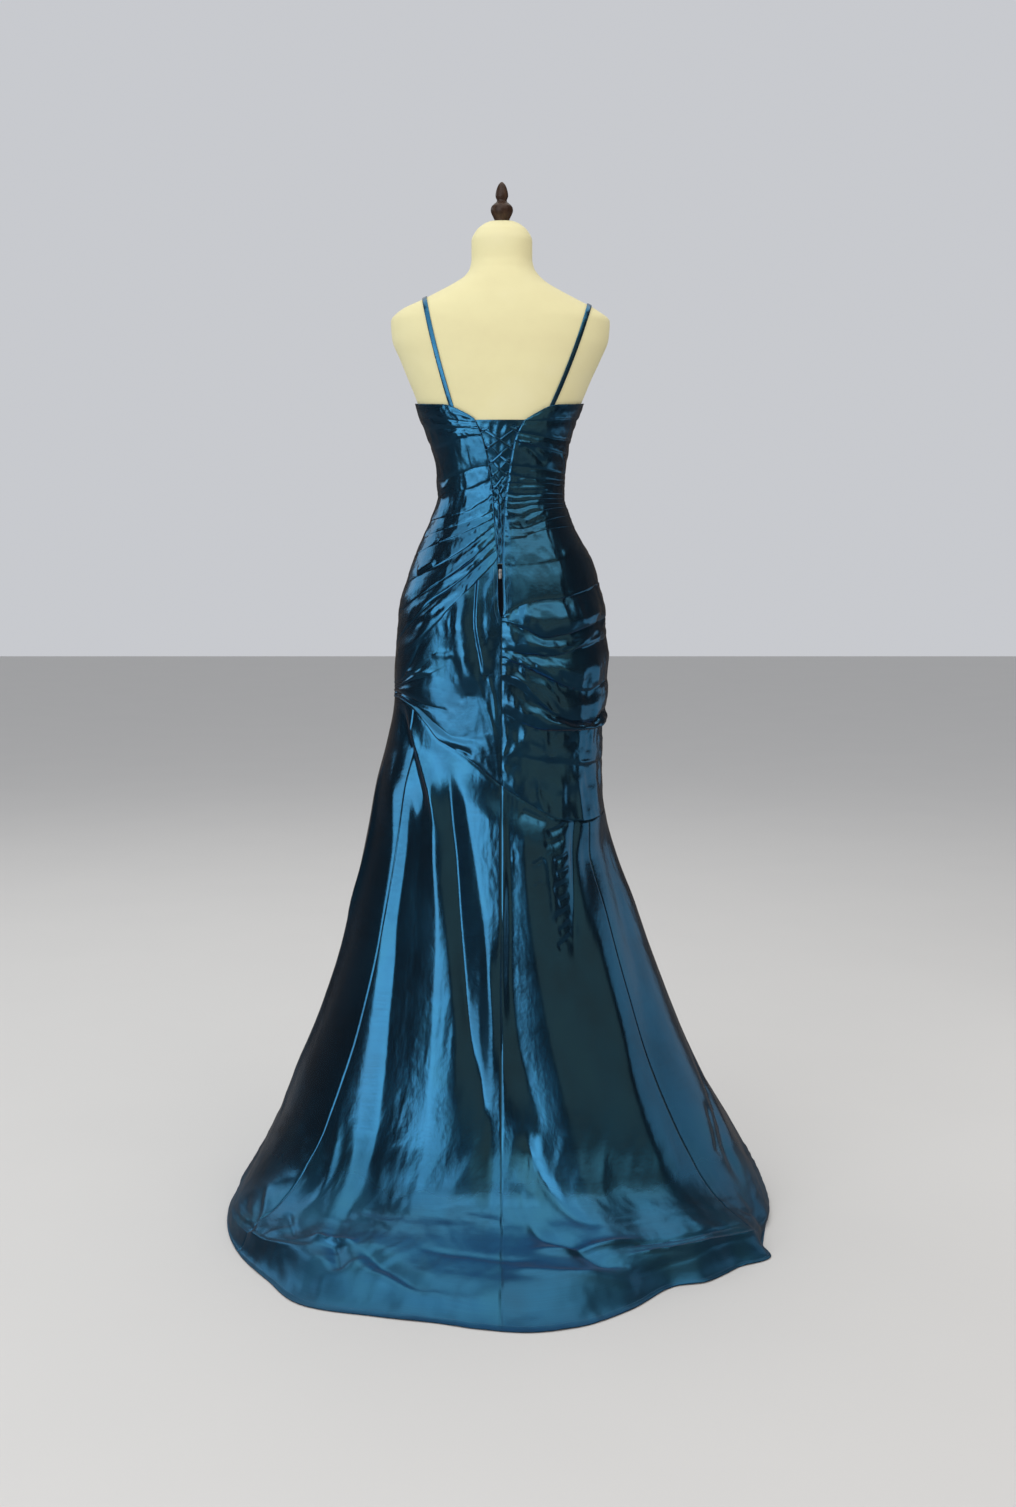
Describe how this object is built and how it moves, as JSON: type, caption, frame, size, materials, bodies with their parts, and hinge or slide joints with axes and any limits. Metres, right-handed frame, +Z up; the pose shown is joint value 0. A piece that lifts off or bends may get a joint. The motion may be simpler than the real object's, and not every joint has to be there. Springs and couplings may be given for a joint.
{
  "type": "evening gown on a limbless dress form",
  "caption": "Floor-length draped evening gown with a laced back, thin straps and a sweep train, standing on a limbless dress form with a turned finial.",
  "frame": {"origin": "centre of the stand's round base, on the floor", "axes": "+Z up along the pole; the gown's back faces -Y; +X is the wearer's right"},
  "size_m": [0.928, 0.8576, 1.7243],
  "materials": {
    "taffeta": "shot taffeta, blue over brown, crisp sheen",
    "form_cover": "cream stretched cotton cover",
    "stand_wood": "dark varnished turned wood",
    "zip_metal": "polished nickel",
    "zip_tape": "dark woven tape"
  },
  "bodies": {
    "gown_on_form": {"bodice_front": "taffeta", "bodice_back_left": "taffeta", "bodice_back_right": "taffeta", "modesty_panel": "taffeta", "hip_front": "taffeta", "hip_back_left": "taffeta", "hip_back_right": "taffeta", "skirt_front": "taffeta", "skirt_side_left": "taffeta", "skirt_side_right": "taffeta", "skirt_back_left": "taffeta", "skirt_back_right": "taffeta", "strap_left": "taffeta", "strap_right": "taffeta", "loop_left_1": "taffeta", "loop_left_2": "taffeta", "loop_left_3": "taffeta", "loop_left_4": "taffeta", "loop_left_5": "taffeta", "loop_left_6": "taffeta", "loop_right_1": "taffeta", "loop_right_2": "taffeta", "loop_right_3": "taffeta", "loop_right_4": "taffeta", "loop_right_5": "taffeta", "loop_right_6": "taffeta", "lace_a": "taffeta", "lace_b": "taffeta", "lace_tail_left": "taffeta", "lace_tail_right": "taffeta", "form_torso": "form_cover", "form_finial": "stand_wood", "stand_pole": "stand_wood", "stand_base": "stand_wood", "zip_tape": "zip_tape", "zip_slider": "zip_metal"},
    "pull": {"zip_pull": "zip_metal"}
  },
  "joints": [
    {"name": "zip_pull_swing", "type": "hinge", "parent": "gown_on_form", "child": "pull", "pos_m": [-0.0025, -0.11473, 1.09194], "axis": [-1, 0, 0], "range_deg": [0, 150]}
  ]
}
